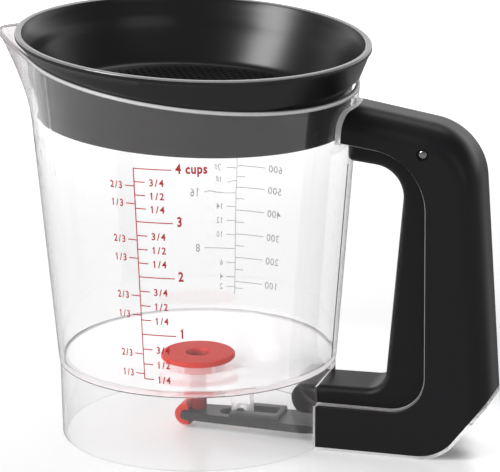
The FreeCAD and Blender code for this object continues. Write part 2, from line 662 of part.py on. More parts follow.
def trigger_hollow():
    """Pocket that leaves an even wall behind the front face, open towards the frame."""
    start = TRIGGER_TOP_END_X + TRIGGER_WALL
    floor = PARTING_BOTTOM_HEIGHT - 3.0
    return plate(rounded_outline(
        [(xz(start, BIG), 0), (xz(start, underside_z(start, TRIGGER_WALL)), 0)]
        + grip_front(TRIGGER_WALL)
        + [(xz(SKIRT_BOTTOM_RADIUS + 6.0, TRIGGER_LEG_TOP_HEIGHT - TRIGGER_WALL), 0),
           (xz(SKIRT_BOTTOM_RADIUS + 6.0, floor), 0), (xz(BIG, floor), 0), (xz(BIG, BIG), 0)]),
        TRIGGER_HALF_WIDTH - TRIGGER_WALL)


def nose_plan():
    """Plan view limits: full width with a round end under the floor."""
    half = TRIGGER_HALF_WIDTH
    outline = rounded_outline([
        (Vector(TRIGGER_NOSE_X, -half, 0), TRIGGER_NOSE_CORNER_RADIUS),
        (Vector(BIG, -half, 0), 0), (Vector(BIG, half, 0), 0),
        (Vector(TRIGGER_NOSE_X, half, 0), TRIGGER_NOSE_CORNER_RADIUS)])
    return Part.Face(outline).extrude(Vector(0, 0, BIG))


def trigger():
    shape = plate(trigger_outline(), TRIGGER_HALF_WIDTH)
    shape = soften_front(shape)
    shape = shape.common(nose_plan())
    shape = shape.cut(trigger_hollow())
    boss = rod_y(PIVOT[0], PIVOT[1], PIN_BOSS_RADIUS, TRIGGER_HALF_WIDTH)
    pusher = pusher_rib()
    peg = spring_peg(grip_x(SPRING_HEIGHT, TRIGGER_WALL), 1.0)
    shape = shape.fuse([boss, pusher, peg])
    return shape.cut(rod_y(PIVOT[0], PIVOT[1], PIN_RADIUS + PIN_CLEARANCE, BIG)).removeSplitter()


def soften_front(shape):
    """Round the long front edges that fingers touch."""
    edges = []
    for edge in shape.Edges:
        span = edge.BoundBox
        on_side = span.YLength < 0.01 and abs(abs(span.YMin) - TRIGGER_HALF_WIDTH) < 0.01
        at_front = span.XMax < PARTING_X - 1.0 and span.ZMin > TRIGGER_LEG_BOTTOM_HEIGHT + 4.0
        leg_or_grip = span.ZMax < parting_top_z(TRIGGER_TOP_END_X) + 1.0
        if on_side and at_front and leg_or_grip:
            edges.append(edge)
    return shape.makeFillet(TRIGGER_EDGE_RADIUS, edges)


def pusher_rib():
    """Rounded rib under the leg that presses the lever's outer end."""
    low = LEVER_TOP_HEIGHT + LEVER_GAP
    tip = rod_y(PUSHER_X, low + PUSHER_RADIUS, PUSHER_RADIUS, PUSHER_HALF_WIDTH)
    stalk = box(PUSHER_X - PUSHER_RADIUS, PUSHER_X + PUSHER_RADIUS, -PUSHER_HALF_WIDTH, PUSHER_HALF_WIDTH,
                low + PUSHER_RADIUS, TRIGGER_LEG_BOTTOM_HEIGHT + 2.0)
    return tip.fuse(stalk)


def return_spring():
    """Compression spring that pushes the grip away from the handle's back, with a six-sided wire."""
    start = grip_x(SPRING_HEIGHT, TRIGGER_WALL) + SPRING_WIRE_RADIUS + SPRING_SEAT_GAP
    end = frame_inner_back() - SPRING_WIRE_RADIUS - SPRING_SEAT_GAP
    steps = SPRING_TURNS * SPRING_STEPS_PER_TURN

    def section(step):
        turn = 2 * math.pi * step / SPRING_STEPS_PER_TURN
        x = start + (end - start) * step / steps
        corners = []
        for k in range(6):
            radius = SPRING_RADIUS + SPRING_WIRE_RADIUS * math.cos(math.pi * k / 3)
            corners.append(Vector(x + SPRING_WIRE_RADIUS * math.sin(math.pi * k / 3),
                                  radius * math.cos(turn), SPRING_HEIGHT + radius * math.sin(turn)))
        return corners

    sections = [section(step) for step in range(steps + 1)]
    faces = [Part.Face(polygon(sections[0])), Part.Face(polygon(sections[-1]))]
    for here, beyond in zip(sections, sections[1:]):
        for k in range(6):
            faces.append(Part.Face(polygon([here[k - 1], here[k], beyond[k]])))
            faces.append(Part.Face(polygon([here[k - 1], beyond[k], beyond[k - 1]])))
    return closed_solid(faces)


# ================================================================ lever and plug
def lever_half_width(x):
    share = (x - LEVER_TIP_X) / (LEVER_END_X - LEVER_TIP_X)
    return LEVER_TIP_HALF_WIDTH + (LEVER_END_HALF_WIDTH - LEVER_TIP_HALF_WIDTH) * share


def lever_arm():
    top = LEVER_TOP_HEIGHT
    under = top - LEVER_THICKNESS
    tip_round = LEVER_THICKNESS / 2 - 0.05
    side = plate(rounded_outline([
        (xz(LEVER_TIP_X, under), tip_round), (xz(PUSHER_X - 5.0, under), 0),
        (xz(LEVER_END_X, under + LEVER_END_THIN), 0.8), (xz(LEVER_END_X, top), 0.8),
        (xz(LEVER_TIP_X, top), tip_round)]), BIG)
    ends = ((LEVER_TIP_X, -1), (LEVER_END_X, -1), (LEVER_END_X, 1), (LEVER_TIP_X, 1))
    plan = polygon([Vector(x, side_sign * lever_half_width(x), 0) for x, side_sign in ends])
    arm = side.common(Part.Face(plan).extrude(Vector(0, 0, 20.0)))
    frame = box(LEVER_FRAME_START_X, LEVER_FRAME_END_X, -LEVER_FRAME_HALF_WIDTH, LEVER_FRAME_HALF_WIDTH,
                top - 1.0, LEVER_FRAME_TOP_HEIGHT)
    frame = frame.makeFillet(0.8, [edge for edge in frame.Edges if edge.BoundBox.ZMin > top])
    bar = rod_y(LEVER_PIVOT_X, LEVER_PIVOT_HEIGHT, LEVER_BAR_RADIUS, LEVER_WINDOW_HALF_WIDTH + 0.5)
    window = box(LEVER_FRAME_START_X - 0.5, LEVER_WINDOW_END_X, -LEVER_WINDOW_HALF_WIDTH,
                 LEVER_WINDOW_HALF_WIDTH, 0, 20.0)
    slot_radius = LEVER_WINDOW_HALF_WIDTH
    slot_x = LEVER_SLOT_START_X + slot_radius
    slot = Part.makeCylinder(slot_radius, 20.0, Vector(slot_x, 0, 0))
    slot = slot.fuse(box(slot_x, LEVER_FRAME_START_X, -slot_radius, slot_radius, 0, 20.0))
    return arm.fuse(frame).cut([window, slot]).fuse(bar).removeSplitter()


def drain_plug():
    seat = FLOOR_CENTRE_HEIGHT + SEAT_HEIGHT + PLUG_SEAT_GAP
    top = seat + PLUG_THICKNESS
    hook_x = LEVER_TIP_X + LEVER_THICKNESS / 2
    hook_z = LEVER_TOP_HEIGHT - LEVER_THICKNESS / 2
    neck_end = LEVER_TOP_HEIGHT + HOOK_CLEARANCE + 0.3
    stem_end = seat - PLUG_STEM_DEPTH
    body = turned([(0, neck_end), (PLUG_NECK_RADIUS, neck_end), (PLUG_NECK_RADIUS, stem_end),
                   (PLUG_STEM_RADIUS - 0.6, stem_end), (PLUG_STEM_RADIUS, stem_end + 0.6),
                   (PLUG_STEM_RADIUS, seat),
                   (PLUG_RADIUS - 0.5, seat), (PLUG_RADIUS, seat + 0.5), (PLUG_RADIUS, top - 0.6),
                   (PLUG_RADIUS - 0.6, top), (PLUG_RECESS_RADIUS, top),
                   (PLUG_RECESS_FLOOR_RADIUS, top - PLUG_RECESS_DEPTH), (0, top - PLUG_RECESS_DEPTH)])
    inner = LEVER_THICKNESS / 2 + HOOK_CLEARANCE
    ring = rod_y(hook_x, hook_z, inner + HOOK_THICKNESS, HOOK_HALF_WIDTH)
    half_opening = math.radians(HOOK_OPENING_DEG)
    far = 5.0 * (inner + HOOK_THICKNESS)
    far_x = hook_x + far * math.cos(half_opening)
    far_z = far * math.sin(half_opening)
    opening = plate(polygon([xz(hook_x, hook_z), xz(far_x, hook_z + far_z), xz(hook_x + 2.0 * far, hook_z),
                             xz(far_x, hook_z - far_z)]), BIG)
    hook = ring.cut([rod_y(hook_x, hook_z, inner, BIG), opening])
    return body.fuse(hook).removeSplitter()


# ================================================================ build
NODES = {
    "cup": cup,
    "base_skirt": base_skirt,
    "strainer": strainer,
    "handle_cover": handle_cover,
    "handle_frame": handle_frame,
    "trigger": trigger,
    "trigger_pin": trigger_pin,
    "return_spring": return_spring,
    "lever_arm": lever_arm,
    "drain_plug": drain_plug,
}


def main():
    os.makedirs("parts", exist_ok=True)
    for name, make in NODES.items():
        shape = make()
        shape.translate(AXIS_SHIFT)
        shape.exportStep(f"parts/{name}.step")
        span = shape.BoundBox
        print(f"{name}: {len(shape.Solids)} solid, {shape.Volume / 1000:.2f} cm3, valid {shape.isValid()},"
              f" x {span.XMin:.1f}..{span.XMax:.1f}, y {span.YMin:.1f}..{span.YMax:.1f},"
              f" z {span.ZMin:.1f}..{span.ZMax:.1f}")


main()
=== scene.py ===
"""Looks of a gravy fat separator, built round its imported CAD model. Metres, +Z up, +X to the handle."""
import bmesh
import bpy
import json
import math
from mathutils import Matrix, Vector
from mathutils.geometry import delaunay_2d_cdt


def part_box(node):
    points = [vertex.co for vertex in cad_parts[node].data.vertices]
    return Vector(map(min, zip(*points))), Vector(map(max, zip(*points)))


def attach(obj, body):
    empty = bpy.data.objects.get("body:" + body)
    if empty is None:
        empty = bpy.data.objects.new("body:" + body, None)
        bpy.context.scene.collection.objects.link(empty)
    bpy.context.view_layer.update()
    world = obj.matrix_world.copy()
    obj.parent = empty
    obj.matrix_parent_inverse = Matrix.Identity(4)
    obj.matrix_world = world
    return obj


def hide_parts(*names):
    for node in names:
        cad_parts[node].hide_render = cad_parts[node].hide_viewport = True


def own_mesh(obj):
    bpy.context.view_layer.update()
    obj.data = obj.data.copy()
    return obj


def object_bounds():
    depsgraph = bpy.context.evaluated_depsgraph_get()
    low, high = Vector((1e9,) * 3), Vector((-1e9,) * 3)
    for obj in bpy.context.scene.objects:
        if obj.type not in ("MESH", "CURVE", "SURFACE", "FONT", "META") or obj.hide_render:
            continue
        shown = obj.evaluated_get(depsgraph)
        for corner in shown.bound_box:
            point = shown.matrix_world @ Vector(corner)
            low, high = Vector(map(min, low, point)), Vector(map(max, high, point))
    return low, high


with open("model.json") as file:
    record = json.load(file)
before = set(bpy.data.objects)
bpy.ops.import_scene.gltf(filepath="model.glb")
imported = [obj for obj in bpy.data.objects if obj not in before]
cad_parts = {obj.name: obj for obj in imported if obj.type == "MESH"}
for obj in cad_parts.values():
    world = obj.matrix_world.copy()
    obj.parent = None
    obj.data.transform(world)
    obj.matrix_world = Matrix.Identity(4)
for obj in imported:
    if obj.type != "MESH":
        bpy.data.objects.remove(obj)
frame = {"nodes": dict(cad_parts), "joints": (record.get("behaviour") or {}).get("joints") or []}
cad_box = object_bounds()
nodes = frame["nodes"]
trigger_joint = next(joint for joint in frame["joints"] if joint["name"] == "trigger_squeeze")
scene = bpy.context.scene

# Sizes of the pieces are in mm, with radii and X from the cup's axis, and MM turns them into metres.
# Sizes in materials, on the table and for lamps and camera are in metres.
MM = 0.001
AXIS_X = -20.15
DRAFT = math.tan(math.radians(4.9))
CONE_Z, CONE_RADIUS = 30.0, 54.95      # foot of the cup's cone, outside
RIM_Z, RIM_TILT = 148.3, 0.123         # plane of the cup's rim: height on the axis, slope down to the handle
TOP_Z, TOP_TILT = 159.0, 0.052         # plane of the strainer's top, likewise


def cup_radius(z):
    """Outside radius of the cup's cone at height z."""
    return CONE_RADIUS + (z - CONE_Z) * DRAFT


# ---------------------------------------------------------------- nodes
class Tree:
    """Node tree of a material or world. Where a number goes in, another node's output may go in instead."""

    def __init__(self, owner):
        owner.use_nodes = True
        self.tree = owner.node_tree
        self.tree.nodes.clear()

    def put(self, slot, value):
        if isinstance(value, bpy.types.NodeSocket):
            self.tree.links.new(value, slot)
        else:
            slot.default_value = value

    def node(self, kind, *values, **named):
        """Adds a node. Values fill its inputs in order. Lower-case names set its properties. Other names fill
        the inputs that they name, with _ for a space."""
        node = self.tree.nodes.new("ShaderNode" + kind)
        for name, value in named.items():
            if name.islower():
                setattr(node, name, value)
        for slot, value in zip(node.inputs, values):
            self.put(slot, value)
        for name, value in named.items():
            if not name.islower():
                self.put(node.inputs[name.replace("_", " ")], value)
        return node

    def math(self, operation, *values):
        return self.node("Math", *values, operation=operation).outputs[0]

    def vector(self, operation, *values, **named):
        return self.node("VectorMath", *values, operation=operation, **named).outputs["Vector"]

    def dot(self, first, second):
        return self.node("VectorMath", first, second, operation="DOT_PRODUCT").outputs["Value"]

    def distance(self, first, second):
        return self.node("VectorMath", first, second, operation="DISTANCE").outputs["Value"]

    def part(self, vector, axis):
        return self.node("SeparateXYZ", vector).outputs[axis]

    def ramp(self, value, start, end, low=0.0, high=1.0, kind="LINEAR"):
        """Value that runs from low at start to high at end, and stays there beyond them."""
        return self.node("MapRange", interpolation_type=kind, Value=value, From_Min=start, From_Max=end,
                         To_Min=low, To_Max=high).outputs["Result"]

    def smooth(self, value, start, end, low=0.0, high=1.0):
        return self.ramp(value, start, end, low, high, "SMOOTHSTEP")

    def mix(self, share, first, second):
        """Colour between two."""
        return self.node("Mix", data_type="RGBA", Factor=share, A=first, B=second).outputs["Result"]


class Look(Tree):
    """Principled material whose colour, roughness and surface vary by noise."""

    CLOUD_SCALE = 35.0
    BUMP_DEPTH = 0.0002

    def __init__(self, name, colour, rough, bump=0.0, bump_scale=0.0, vary=0.08, rough_vary=0.05, **sockets):
        self.mat = bpy.data.materials.new(name)
        super().__init__(self.mat)
        self.out = self.node("OutputMaterial")
        self.shader = self.node("BsdfPrincipled", **sockets)
        self.put(self.out.inputs["Surface"], self.shader.outputs[0])
        self.place = self.node("TexCoord").outputs["Object"]
        clouds = self.node("TexNoise", Vector=self.place, Scale=self.CLOUD_SCALE, Detail=4.0).outputs["Fac"]
        darker = tuple(part * (1 - vary) for part in colour) + (1,)
        lighter = tuple(min(1.0, part * (1 + vary)) for part in colour) + (1,)
        self.put(self.shader.inputs["Base Color"], self.mix(clouds, darker, lighter))
        if rough_vary:
            rough = self.ramp(clouds, 0.0, 1.0, max(0.0, rough - rough_vary), rough + rough_vary)
        self.put(self.shader.inputs["Roughness"], rough)
        if bump:
            grain = self.node("TexNoise", Vector=self.place, Scale=bump_scale, Detail=2.0).outputs["Fac"]
            self.relief = self.node("Bump", Strength=bump, Distance=self.BUMP_DEPTH, Height=grain)
            self.put(self.shader.inputs["Normal"], self.relief.outputs["Normal"])

    def along(self, axis):
        """The surface's place along an axis."""
        return self.part(self.place, axis)

    def from_upright(self, x, y):
        """Distance from an upright line."""
        return self.distance(self.place, self.node("CombineXYZ", X=x, Y=y, Z=self.along("Z")).outputs[0])

    def recolour(self, share, tone):
        """Mixes a tone into the colour, by a share that changes over the surface."""
        base = self.shader.inputs["Base Color"]
        self.put(base, self.mix(share, base.links[0].from_socket, tone + (1,)))

    def absorb(self, colour, density):
        """Faint tint that deepens with the length of the way through the plastic."""
        tint = self.node("VolumeAbsorption", Color=colour + (1,), Density=density)
        self.put(self.out.inputs["Volume"], tint.outputs[0])

    def let_light_through(self, share):
        """Lamps and the room light what lies behind clear plastic, as they do in life."""
        surface = self.out.inputs["Surface"]
        path = self.node("LightPath").outputs
        lighting = self.math("MAXIMUM", path["Is Shadow Ray"], path["Is Diffuse Ray"])
        gap = self.node("BsdfTransparent").outputs[0]
        through = self.math("MULTIPLY", lighting, share)
        self.put(surface, self.node("MixShader", through, surface.links[0].from_socket, gap).outputs[0])


# ---------------------------------------------------------------- materials
CLEAR_TINT, CLEAR_DENSITY = (0.78, 0.75, 0.765), 9.0
# the spout's grey haze tone is a painted shade
HAZE_TONE, SPOUT_SHADE_TONE = (0.93, 0.91, 0.92, 1), (0.47, 0.42, 0.44, 1)
FLOOR_HAZE, SPOUT_HAZE = 0.26, 0.30
FLOOR_HAZE_Z = (0.0345, 0.0325)        # heights at which the floor's haze starts and is full
FLOOR_HAZE_RADIUS = (0.0530, 0.0520)   # distances from its middle at which it starts and is full
FLOOR_HAZE_Y = 0.0016                  # its middle lies a little behind the cup's axis
SPOUT_HAZE_BULGE = (0.0004, 0.0030)    # how far out of the cone the spout's haze starts and is full


def cup_haze(look, haze):
    """Share and tone of the cup's haze: stronger in its floor, and in its spout stronger and painted grey, as
    shade.
    """
    low = look.ramp(look.along("Z"), *FLOOR_HAZE_Z, haze, FLOOR_HAZE)
    inside = look.ramp(look.from_upright(AXIS_X * MM, FLOOR_HAZE_Y), *FLOOR_HAZE_RADIUS, haze, FLOOR_HAZE)
    cone = look.math("MULTIPLY_ADD", look.along("Z"), DRAFT, cup_radius(0.0) * MM)
    bulge = look.math("SUBTRACT", look.from_upright(AXIS_X * MM, 0.0), cone)
    spout = look.ramp(bulge, *SPOUT_HAZE_BULGE)
    share = look.math("MAXIMUM", look.math("MINIMUM", low, inside), look.math("MULTIPLY", spout, SPOUT_HAZE))
    return share, look.mix(spout, HAZE_TONE, SPOUT_SHADE_TONE)


def clear_plastic(name, haze, shaped=None):
    """Water-clear moulded plastic with a little haze, whose share and tone a function may shape."""
    look = Look(name, (0.985, 0.985, 0.988), 0.0, vary=0.004, rough_vary=0.0, Transmission_Weight=1.0,
                IOR=1.55)
    share, tone = shaped(look, haze) if shaped else (haze, HAZE_TONE)
    cloud = look.node("AddShader", look.node("BsdfDiffuse", Color=tone).outputs[0],
                      look.node("BsdfTranslucent", Color=tone).outputs[0])
    hazy = look.node("MixShader", share, look.shader.outputs[0], cloud.outputs[0])
    look.put(look.out.inputs["Surface"], hazy.outputs[0])
    look.absorb(CLEAR_TINT, CLEAR_DENSITY)
    look.let_light_through(share=0.95)
    return look


def crown(look, half_width, arch):
    """Shades a bar that runs in the XZ plane as if its outside were arched from side to side."""
    facing = look.node("NewGeometry").outputs["Normal"]
    across = look.math("DIVIDE", look.along("Y"), half_width)
    arched = look.math("MULTIPLY", look.math("ABSOLUTE", across), arch)
    sideways = look.math("ABSOLUTE", look.part(facing, "Y"))
    lean = look.math("MINIMUM", look.math("MAXIMUM", sideways, arched), 1.0)
    left = look.math("MAXIMUM", look.math("SUBTRACT", 1.0, look.math("MULTIPLY", lean, lean)), 0.0)
    flat = look.vector("NORMALIZE", look.vector("MULTIPLY", facing, (1.0, 0.0, 1.0)))
    turned = look.vector("SCALE", flat, Scale=look.math("SQRT", left))
    outward = look.node("CombineXYZ", Y=look.math("MULTIPLY", look.math("SIGN", across), lean)).outputs[0]
    look.put(look.relief.inputs["Normal"], look.vector("ADD", turned, outward))


def shade_recess(look, box, radius, depth, share, tone):
    """Paints shade into the round recess in the middle of a disc's top, darker towards the recess's floor."""
    low, high = box
    edge = 0.0002
    inside = look.math("LESS_THAN", look.from_upright((low.x + high.x) / 2, (low.y + high.y) / 2), radius)
    down = look.ramp(look.along("Z"), high.z - edge, high.z - depth, 0.0, share)
    look.recolour(look.math("MULTIPLY", inside, down), tone)


clear = clear_plastic("clear_plastic", 0.007, cup_haze)
clear_base = clear_plastic("clear_base_plastic", 0.015)
clear_frame = clear_plastic("clear_frame_plastic", 0.30)
# grey: a painted highlight for the clear frame's polished edge
frame_edge_highlight = Look("frame_edge_highlight", (0.42, 0.40, 0.41), 0.15, vary=0.05)

TIP_X, TIP_SHADE_TONE = (-0.084, -0.070), (0.50, 0.44, 0.46)    # the rim is painted greyer round the spout's tip, as shade
# near-white and half opaque: a painted highlight for the light that the clear rim catches
rim_painted_highlight = Look("rim_painted_highlight", (0.93, 0.91, 0.92), 0.25, vary=0.02, Transmission_Weight=0.35, IOR=1.5)
rim_painted_highlight.recolour(rim_painted_highlight.ramp(rim_painted_highlight.along("X"), *TIP_X, 1.0, 0.0), TIP_SHADE_TONE)
rim_painted_highlight.let_light_through(share=0.7)

SATIN = dict(colour=(0.0135, 0.012, 0.0138), rough=0.37, bump=0.05, bump_scale=2500.0, vary=0.1)
black = Look("black_satin_plastic", **SATIN, Specular_IOR_Level=0.3)
handle_black = Look("handle_plastic", **SATIN, Specular_IOR_Level=0.35)
crown(handle_black, half_width=0.0163, arch=0.75)

STRAINER_COLOUR = (0.010, 0.009, 0.010)
strainer_black = Look("strainer_plastic", STRAINER_COLOUR, 0.28, rough_vary=0.02, Specular_IOR_Level=0.7)
band_black = Look("strainer_band_plastic", STRAINER_COLOUR, 0.30, rough_vary=0.02, Specular_IOR_Level=0.3,
                  Specular_Tint=(1.0, 0.90, 0.98, 1.0))
# the lip is glossier, and painted light grey as a highlight along its edge
lip_painted_highlight = Look("strainer_lip_painted_highlight", (0.29, 0.275, 0.29), 0.14, rough_vary=0.02, Specular_IOR_Level=1.0)

red = Look("red_silicone", (0.95, 0.040, 0.020), 0.46, bump=0.06, bump_scale=1500.0, vary=0.05,
           Subsurface_Weight=0.1, Subsurface_Scale=0.002, Specular_IOR_Level=0.2)
# painted shade in the drain plug's recess
shade_recess(red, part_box("drain_plug"), radius=0.0052, depth=0.0026, share=0.9, tone=(0.22, 0.006, 0.005))

grey = Look("lever_plastic", (0.035, 0.035, 0.038), 0.35, bump=0.05, bump_scale=2000.0)
steel = Look("pin_steel", (0.50, 0.49, 0.49), 0.22, bump=0.03, bump_scale=3000.0, Metallic=1.0)
print_red = Look("red_print", (0.60, 0.012, 0.020), 0.5, vary=0.06)
print_grey = Look("grey_print", (0.52, 0.43, 0.46), 0.5, vary=0.06)

NODE_LOOKS = {"cup": clear, "base_skirt": clear_base, "handle_frame": clear_frame, "strainer": strainer_black,
              "handle_cover": handle_black, "trigger": black, "lever_arm": grey, "drain_plug": red,
              "trigger_pin": steel, "return_spring": steel}
for name, look in NODE_LOOKS.items():
    materials = nodes[name].data.materials
    materials.clear()
    materials.append(look.mat)


# ---------------------------------------------------------------- pieces
def new_mesh(name, points, faces, look):
    mesh = bpy.data.meshes.new(name)
    mesh.from_pydata([tuple(point) for point in points], [], faces)
    mesh.update()
    mesh.materials.append(look.mat)
    return mesh


def new_piece(name, mesh, body):
    """Puts a mesh into the scene as a piece that rides on a body."""
    piece = bpy.data.objects.new(name, mesh)
    scene.collection.objects.link(piece)
    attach(piece, body)
    return piece


def on_circle(share, radius, x=0.0, y=0.0):
    """Point of a circle round (x, y), a share of a turn from +X."""
    angle = 2 * math.pi * share
    return x + radius * math.cos(angle), y + radius * math.sin(angle)


def between(share, first, second):
    """Point a share of the way from one point to another."""
    return tuple(p + share * (q - p) for p, q in zip(first, second))


def spring():
    """The return spring, between the handle's frame and the trigger, as a piece of its own on the vessel in
    place of the CAD node.
    """
    piece = new_piece("spring_coil", nodes["return_spring"].data.copy(), "vessel")
    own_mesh(piece)
    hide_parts("return_spring")


spring()


# ---------------------------------------------------------------- strainer
TURNS = 240                            # steps round the strainer
STRAINER_HEIGHT = 31.5                 # from its top plane down to its foot
BAND_FIT, SEAT_FIT = -2.15, -1.15      # from the cup's cone to the band, and to the shoulder in the rim
BAND_STEP, WALL = 0.7, 1.4             # how far the band's lower part is set back, and the wall there
STEP_DROP, STEP_TILT = 6.3, -0.04      # plane of the band's step: depth under the rim on the axis, slope
THIN_WALL = 0.75                       # least wall behind the band
FLARE_RISE, FLARE_TILT = 1.4, 0.079    # plane over the cup's rim where the hopper's flare starts
UNDER_LIP, INSIDE_LIP = (68.5, 2.2), (66.4, 0.9)    # radius, and depth under the top plane
LIP = [(68.85, 2.0), (69.05, 1.7), (69.1, 1.3), (69.1, 0.9), (69.02, 0.5), (68.88, 0.2), (68.65, 0.03),
       (68.4, 0.0), (67.6, 0.03), (66.85, 0.06), (66.55, 0.28)]
HOPPER_STEPS, HOPPER_END = 12, 0.9     # steps down the hopper, and the share of its height that they cover
HOPPER_BULGE, HOPPER_SOFT = 0.5, 0.4   # how far it bulges, and how softly it runs into the wall
FLOOR_Z, FLOOR_THICK, FLOOR_RADIUS = 134.0, 1.8, 54.3
FLOOR_CORNER = 2.4                     # how far in from the floor's edge its rounded corner ends
HOLE_PITCH, HOLE_RADIUS, HOLE_SIDES = 3.4, 0.78, 10
HOLE_FIELD = 50.6                      # the holes' centres lie within this radius
LIP_HIGHLIGHT_DEPTH = 0.45                      # how far under the top plane the lip's painted highlight and glossier finish reach
SHARP_EDGE = math.radians(32)          # edges that turn by more look sharp


def on_cone(c, offset, z, tilt):
    """Radius and height where the cup's cone, moved out by offset, meets the plane z - tilt * x."""
    radius = (cup_radius(z) + offset) / (1 + tilt * DRAFT * c)
    return radius, z - tilt * radius * c


def strainer_outside(c):
    """Outline of the strainer's outside in one direction, from its foot up and over the lip."""
    def under_top(radius, depth):
        return radius, TOP_Z - depth - TOP_TILT * radius * c

    foot = on_cone(c, BAND_FIT - BAND_STEP, TOP_Z - STRAINER_HEIGHT, TOP_TILT)
    step_low = on_cone(c, BAND_FIT - BAND_STEP, RIM_Z - STEP_DROP, STEP_TILT)
    step_high = on_cone(c, BAND_FIT, RIM_Z - STEP_DROP, STEP_TILT)
    rim = on_cone(c, BAND_FIT, RIM_Z, RIM_TILT)
    seat = on_cone(c, SEAT_FIT, RIM_Z, RIM_TILT)
    under_lip = under_top(*UNDER_LIP)
    if step_high[1] < rim[1]:
        outline = [foot, step_low, step_high, rim, seat]
    else:
        # on the handle's side the step lies over the cup's rim and ends in the flare
        edge = between((step_low[1] - seat[1]) / (under_lip[1] - seat[1]), seat, under_lip)
        outline = [foot, step_low, ((step_low[0] + edge[0]) / 2, edge[1]), edge, edge]
    outline += [between(share, outline[-1], under_lip) for share in (0.33, 0.66)]
    return outline + [under_lip] + [under_top(*spot) for spot in LIP]


def strainer_hopper(c):
    """Outline of the strainer's inside in one direction, from the lip down to the floor."""
    thin = BAND_FIT - THIN_WALL
    base = on_cone(c, thin, RIM_Z + FLARE_RISE, FLARE_TILT)
    lip = (INSIDE_LIP[0], TOP_Z - INSIDE_LIP[1] - TOP_TILT * INSIDE_LIP[0] * c)
    corner, end = ((radius, FLOOR_Z - TOP_TILT * radius * c)
                   for radius in (FLOOR_RADIUS, FLOOR_RADIUS - FLOOR_CORNER))
    outline = [lip]
    for step in range(1, HOPPER_STEPS + 1):
        share = HOPPER_END * step / HOPPER_STEPS
        radius, z = between(share, lip, corner)
        radius += HOPPER_BULGE * math.sin(math.pi * share)
        wall = cup_radius(z) + thin
        if z > base[1]:
            wall = base[0] + (lip[0] - base[0]) * (z - base[1]) / (lip[1] - base[1])
        outline.append(((radius + wall - math.hypot(radius - wall, HOPPER_SOFT)) / 2, z))
    start = outline[-1]
    for t in (0.2, 0.4, 0.6, 0.8, 1.0):
        outline.append(between(t, between(t, start, corner), between(t, corner, end)))
    return outline


def strainer_profile(c):
    """Outline of the strainer's wall in one direction, c its cosine to +X, as three runs of (radius, height)
    points: the outside upwards, the hopper down to the floor, and from under the floor down to the foot."""
    inset = BAND_FIT - BAND_STEP - WALL
    under = on_cone(c, inset, FLOOR_Z - FLOOR_THICK, TOP_TILT)
    foot = on_cone(c, inset, TOP_Z - STRAINER_HEIGHT, TOP_TILT)
    return strainer_outside(c), strainer_hopper(c), [under, foot]


def strainer_walls(profiles):
    """Points and faces of the three runs, turned round the axis and joined over the lip and at the foot."""
    points, faces, runs = [], [], []
    for part in range(3):
        start, width = len(points), len(profiles[0][part])
        runs.append((start, width))
        for k, profile in enumerate(profiles):
            for radius, z in profile[part]:
                x, y = on_circle(k / TURNS, radius)
                points.append(((AXIS_X + x) * MM, y * MM, z * MM))
            here, beside = start + k * width, start + (k + 1) % TURNS * width
            faces += [(here + i, beside + i, beside + i + 1, here + i + 1) for i in range(width - 1)]
    outside, hopper, under = runs
    for k in range(TURNS):
        n = (k + 1) % TURNS
        for (start, width), (next_start, next_width) in ((outside, hopper), (under, outside)):
            end = start + width - 1
            faces.append((end + k * width, end + n * width, next_start + n * next_width,
                          next_start + k * next_width))
    return points, faces


def strainer_floor(profiles, points, faces):
    """Adds the floor: one flat mesh of triangles round the holes, above and below, and the holes' walls."""
    row_pitch = HOLE_PITCH * math.sqrt(3) / 2
    rows, columns = int(HOLE_FIELD / row_pitch), int(HOLE_FIELD / HOLE_PITCH) + 1
    grid = [((column + (row % 2) / 2) * HOLE_PITCH, row * row_pitch)
            for row in range(-rows, rows + 1) for column in range(-columns, columns + 1)]
    centres = [(x, y) for x, y in grid if math.hypot(x, y) < HOLE_FIELD]
    holes = [Vector(on_circle(t / HOLE_SIDES, HOLE_RADIUS, x, y))
             for x, y in centres for t in range(HOLE_SIDES)]
    rim = [Vector(on_circle(k / TURNS, 1.0)) * profiles[k][1][-1][0] for k in range(TURNS)]
    edges = [(HOLE_SIDES * i + t, HOLE_SIDES * i + (t + 1) % HOLE_SIDES)
             for i in range(len(centres)) for t in range(HOLE_SIDES)]
    edges += [(len(holes) + k, len(holes) + (k + 1) % TURNS) for k in range(TURNS)]
    spots, _, triangles, came_from, _, _ = delaunay_2d_cdt(holes + rim, edges, [], 0, 1e-6)
    home = [sources[0] if sources else -1 for sources in came_from]

    def in_hole(triangle):
        """Whether all three corners lie on one hole."""
        sources = [home[i] for i in triangle]
        same = len({source // HOLE_SIDES for source in sources}) == 1
        return same and all(0 <= source < len(holes) for source in sources)

    kept = [triangle for triangle in triangles if not in_hole(triangle)]
    upper, lower = len(points), len(points) + len(spots)
    for i, spot in enumerate(spots):
        points.append(((AXIS_X + spot.x) * MM, spot.y * MM, (FLOOR_Z - TOP_TILT * spot.x) * MM))
    for i, (x, y) in enumerate(spots):
        k = home[i] - len(holes)
        if k >= 0:
            x, y = on_circle(k / TURNS, profiles[k][2][0][0])
        points.append(((AXIS_X + x) * MM, y * MM, (FLOOR_Z - FLOOR_THICK - TOP_TILT * x) * MM))
    faces += [tuple(upper + i for i in triangle) for triangle in kept]
    faces += [tuple(lower + i for i in reversed(triangle)) for triangle in kept]
    where = {source: i for i, source in enumerate(home)}
    for edge in edges[:len(holes)]:
        p, q = (where[source] for source in edge)
        faces.append((upper + p, upper + q, lower + q, lower + p))


